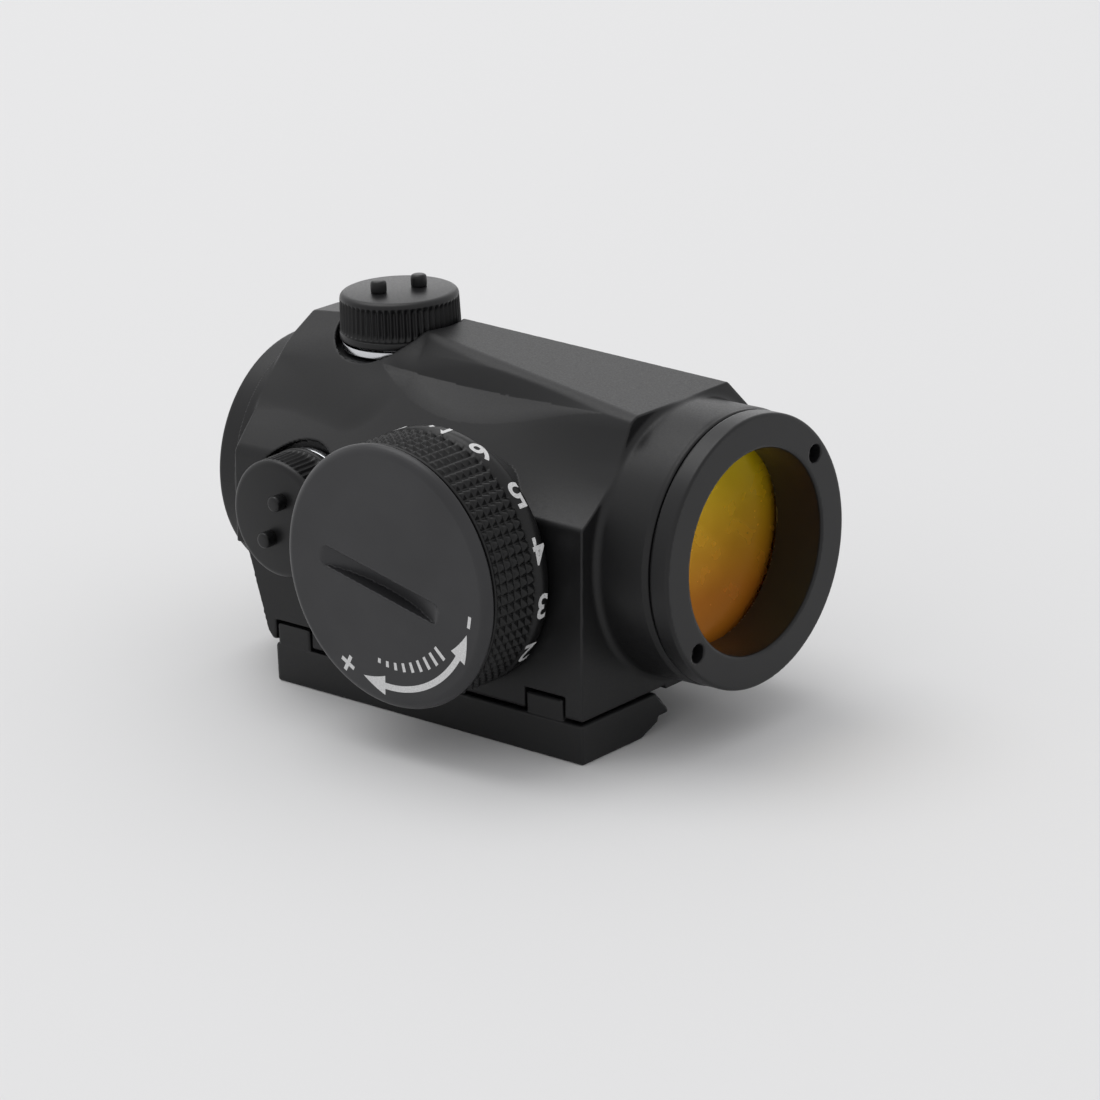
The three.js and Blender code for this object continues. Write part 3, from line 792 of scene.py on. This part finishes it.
def make_turret(side, axis, bright):
    centre = (TURRET_X, 0, 0)
    turret_cap(side, axis, f"{side}_cap")
    lathe(f"{side}_seat", [(5.2, 14.0), (6.2, 14.0), (6.2, 14.75), (5.2, 14.75)], axis, centre,
          bright, "body", f"{side}_seat_ring", 96, 0.1)
    outer = [(4.9, h) for h in np.arange(14.9, 17.8, 0.06)]
    outline = np.array([(4.3, 14.0), (4.9, 14.0)] + outer + [(4.8, 17.9), (4.3, 17.9)])

    def helix(angle, r, h):
        phase = np.mod(h / 0.5 - angle / (2 * math.pi), 1)
        ridge = np.abs(2 * phase - 1)
        return r - np.where((r > 4.85) & (h > 14.85), 0.26 * ridge, 0)

    revolve(f"{side}_neck", outline, axis, centre, STEEL, "body", f"{side}_threaded_neck", 96, helix)


# -------------------------------------------------------------- rotary switch

KNURL_ROWS = 72               # pyramids round the knob
KNOB_RADIUS = 13.4


def knurled(angle, r, h):
    """Square pyramids set in rows along the axis."""
    low, high = 18.95, 24.75
    pitch = (high - low) / 6
    u = np.abs(2 * np.mod(angle * KNURL_ROWS / (2 * math.pi), 1) - 1)
    v = np.abs(2 * np.mod((h - low) / pitch, 1) - 1)
    peak = 1 - np.maximum(u, v)
    inside = (r > KNOB_RADIUS - 0.05) & (h > low) & (h < high)
    return r - np.where(inside, 0.5 * (1 - np.minimum(peak * 1.2, 1)), 0)


def make_knob():
    centre = (KNOB_X, 0, KNOB_Z)
    wall = [(KNOB_RADIUS, h) for h in np.linspace(18.9, 24.8, 51)]
    outline = [(5.3, 17.2), (13.15, 17.2), (13.32, 17.27), (KNOB_RADIUS, 17.45)] + wall
    outline += [(13.3, 24.98), (13.1, 25.05), (12.15, 25.05), (12.15, 21.3), (10.6, 21.3), (10.6, 18.9),
                (5.3, 18.9)]
    revolve("switch_knob_body", np.array(outline), NEAR, centre, KNOB, "rotary_switch",
            "rotary_switch_knob", KNURL_ROWS * 10, knurled)


def dial_digit(number, turn):
    """A printed digit wrapped on the plain band of the knob; its top points down the dial."""
    text = bpy.data.curves.new(f"digit_{number}", "FONT")
    text.body = str(number)
    text.size = 1
    text.extrude = 0
    text.offset = 0.02        # thickens the strokes
    text.align_x = "CENTER"
    carrier = bpy.data.objects.new(f"digit_text_{number}", text)
    bpy.context.scene.collection.objects.link(carrier)
    mesh = bpy.data.meshes.new_from_object(carrier.evaluated_get(bpy.context.evaluated_depsgraph_get()))
    bpy.data.objects.remove(carrier)
    flat = np.array([tuple(v.co) for v in mesh.vertices])
    high = flat[:, 1].max()
    scale = 2.7 / high
    across = flat[:, 0] * scale * (0.85 if number < 10 else 0.62)
    up = (flat[:, 1] - high / 2) * scale
    radius = 13.43
    angle = math.radians(turn) - up / radius
    points = np.stack([
        KNOB_X + radius * np.cos(angle),
        -18.1 - across,
        KNOB_Z + radius * np.sin(angle),
    ], -1)
    faces = [tuple(face.vertices) for face in mesh.polygons]
    piece = mesh_object(f"dial_digit_{number}", points, faces, PRINT, "rotary_switch")


def make_digits():
    for number in range(12):
        dial_digit(number, 88.5 - 25 * (7 - number))


CAP_RADIUS = 13.58            # battery cap
FACE = 26.48                  # its outer face, measured from the optical axis
MARK = FACE + 0.012            # printed marks lie just proud of the face


def battery_cap(p):
    r, h = along(p, NEAR, (KNOB_X, 0, KNOB_Z))
    rim = both(r - CAP_RADIUS, np.maximum(25.35 - h, h - FACE), 0.3)
    bevel = 0.707 * (r - CAP_RADIUS + h - FACE + 0.62)
    rim = both(rim, bevel, 0.25)
    skirt = both(np.maximum(10.65 - r, r - 11.85), np.maximum(21.7 - h, h - 26), 0.15)
    roof = both(r - 11.85, np.maximum(24.05 - h, h - 26))
    cap = np.minimum(np.minimum(rim, skirt), roof)
    cap = without(cap, both(11.15 - r, np.abs(h - 23) - 0.4), 0.1)
    a = math.radians(COIN_SLOT_TURN)
    x, z = p[:, 0] - KNOB_X - COIN_SLOT[0], p[:, 2] - KNOB_Z - COIN_SLOT[1]
    u, v = x * math.cos(a) + z * math.sin(a), z * math.cos(a) - x * math.sin(a)
    ends = length(np.maximum(np.abs(u) - 7, 0), v) - 1.05
    coin = length(u, h - (FACE + 17.3)) - 19
    return without(cap, np.maximum(ends, coin), 0.12)


def arc_mark(name, low_r, high_r, start, end, body="battery_cap", steps=40):
    """A printed strip between two radii; the radii may be functions of the share along it."""
    share = np.linspace(0, 1, steps)
    angle = np.radians(start + (end - start) * share)
    inner = low_r(share) if callable(low_r) else np.full(steps, low_r)
    outer = high_r(share) if callable(high_r) else np.full(steps, high_r)
    points = []
    for radius in (inner, outer):
        points.append(np.stack([KNOB_X + radius * np.cos(angle), np.full(steps, -MARK),
                                KNOB_Z + radius * np.sin(angle)], -1))
    faces = [(k, k + 1, steps + k + 1, steps + k) for k in range(steps - 1)]
    piece = mesh_object(name, np.concatenate(points), faces, PRINT, body)


def plus_mark(radius, turn):
    """One flat plus sign, square to the radius it stands on."""
    half, arm = 0.22, 0.92
    corners = [(half, arm), (-half, arm), (-half, half), (-arm, half), (-arm, -half), (-half, -half),
               (-half, -arm), (half, -arm), (half, -half), (arm, -half), (arm, half), (half, half)]
    a = math.radians(turn)
    out, side = np.array([math.cos(a), math.sin(a)]), np.array([-math.sin(a), math.cos(a)])
    flat = [(radius + u) * out + v * side for u, v in corners]
    points = [(KNOB_X + x, -MARK, KNOB_Z + z) for x, z in flat]
    faces = [(2, 1, 0, 11), (5, 4, 3, 2), (8, 7, 6, 5), (11, 10, 9, 8), (2, 11, 8, 5)]
    piece = mesh_object("print_plus", points, faces, PRINT, "battery_cap")


def make_cap_print():
    """Arc arrow with a head at each end, a ramp of ticks inside it, and plus and minus marks."""
    middle, half = 11.3, 0.33
    head = 15
    arc_mark("print_arc", middle - half, middle + half, -108 + head, -18.6 - head)
    for name, tip, back in (("low", -108, -108 + head), ("high", -18.6, -18.6 - head)):
        arc_mark(f"print_head_{name}", lambda s: middle - 1.05 * s, lambda s: middle + 1.0 * s,
                 tip, back)
    for k, turn in enumerate(np.linspace(-98, -42, 9)):
        size = 0.5 + 0.14 * k
        arc_mark(f"print_tick_{k + 1}", 8.6, 8.6 + size, turn - 1.2, turn + 1.2, steps=4)
    arc_mark("print_minus", 11.15, 11.53, -14.7, -8.3, steps=8)
    plus_mark(11.4, -119.4)


def make_battery_cap():
    carved("battery_cap_body", battery_cap, (-8.7, -26.8, -14.3), (19.2, -21.4, 13.6),
           (0.2, 0.16, 0.2), COVER, "battery_cap", "battery_cap")
    cell = [(0, 20.75), (9, 20.75), (9, 21.1), (10, 21.3), (10, 23.75), (0, 23.75)]
    lathe("coin_cell_body", cell, NEAR, (KNOB_X, 0, KNOB_Z), CELL_STEEL, "rotary_switch", "coin_cell")


# --------------------------------------------------------------------- studio

PAPER = 0.72                  # reflectance of the floor
SKY = 1.0                     # strength of the even light all round


def make_camera():
    """Long lens, a little above the sight and ahead of its right-hand side."""
    target = Vector((3.174, 0.515, -5.25 + AXIS_HEIGHT)) * MM
    azimuth, elevation, roll = (math.radians(v) for v in (48.359, 18.612, -2.21))
    back = Vector((math.cos(elevation) * math.cos(azimuth), -math.cos(elevation) * math.sin(azimuth),
                   math.sin(elevation)))
    right = (-back).cross(Vector((0, 0, 1))).normalized()
    up = right.cross(-back)
    turned_right = right * math.cos(roll) + up * math.sin(roll)
    turned_up = up * math.cos(roll) - right * math.sin(roll)
    data = bpy.data.cameras.new("camera")
    data.lens, data.sensor_width = 135.14, 36
    data.clip_start, data.clip_end = 0.01, 20
    camera = bpy.data.objects.new("camera", data)
    camera.matrix_world = Matrix.Translation(target + back * 427.53 * MM) @ Matrix(
        (turned_right, turned_up, back)).transposed().to_4x4()
    bpy.context.scene.collection.objects.link(camera)
    bpy.context.scene.camera = camera


def soft_light(name, place, size, power, target=(0, 0, 0.012)):
    data = bpy.data.lights.new(name, "AREA")
    data.shape, data.size, data.energy = "DISK", size, power
    light = bpy.data.objects.new(name, data)
    light.location = place
    light.rotation_euler = (Vector(target) - Vector(place)).to_track_quat("-Z", "Y").to_euler()
    bpy.context.scene.collection.objects.link(light)


def make_studio():
    mesh = bpy.data.meshes.new("studio_floor")
    half, z = 4.0, (FLOOR + AXIS_HEIGHT) * MM - 0.00002
    mesh.from_pydata([(-half, -half, z), (half, -half, z), (half, half, z), (-half, half, z)], [],
                     [(0, 1, 2, 3)])
    floor = bpy.data.objects.new("studio_floor", mesh)
    bpy.context.scene.collection.objects.link(floor)
    paper = shader("studio_paper", (PAPER, PAPER, PAPER), 0.9, specular=0.05)[0]
    mesh.materials.append(paper)
    world = bpy.data.worlds.new("studio")
    world.use_nodes = True
    world.node_tree.nodes["Background"].inputs["Color"].default_value = (0.8, 0.8, 0.81, 1)
    world.node_tree.nodes["Background"].inputs["Strength"].default_value = SKY
    bpy.context.scene.world = world
    soft_light("key_light", (-0.88, 0, 2.32), 2.0, 21.0)
    soft_light("far_light", (-1.57, 1.77, 0.8), 1.5, 3.0)
    bpy.context.scene.view_settings.view_transform = "Standard"


dress_cad_nodes()
make_camera()
make_studio()
make_housing()
make_clamp()
make_rings()
make_glass()
make_turret("elevation", Z_AXIS, BRIGHT[2])
make_turret("windage", NEAR, BRIGHT[1])
make_knob()
make_digits()
make_battery_cap()
make_cap_print()
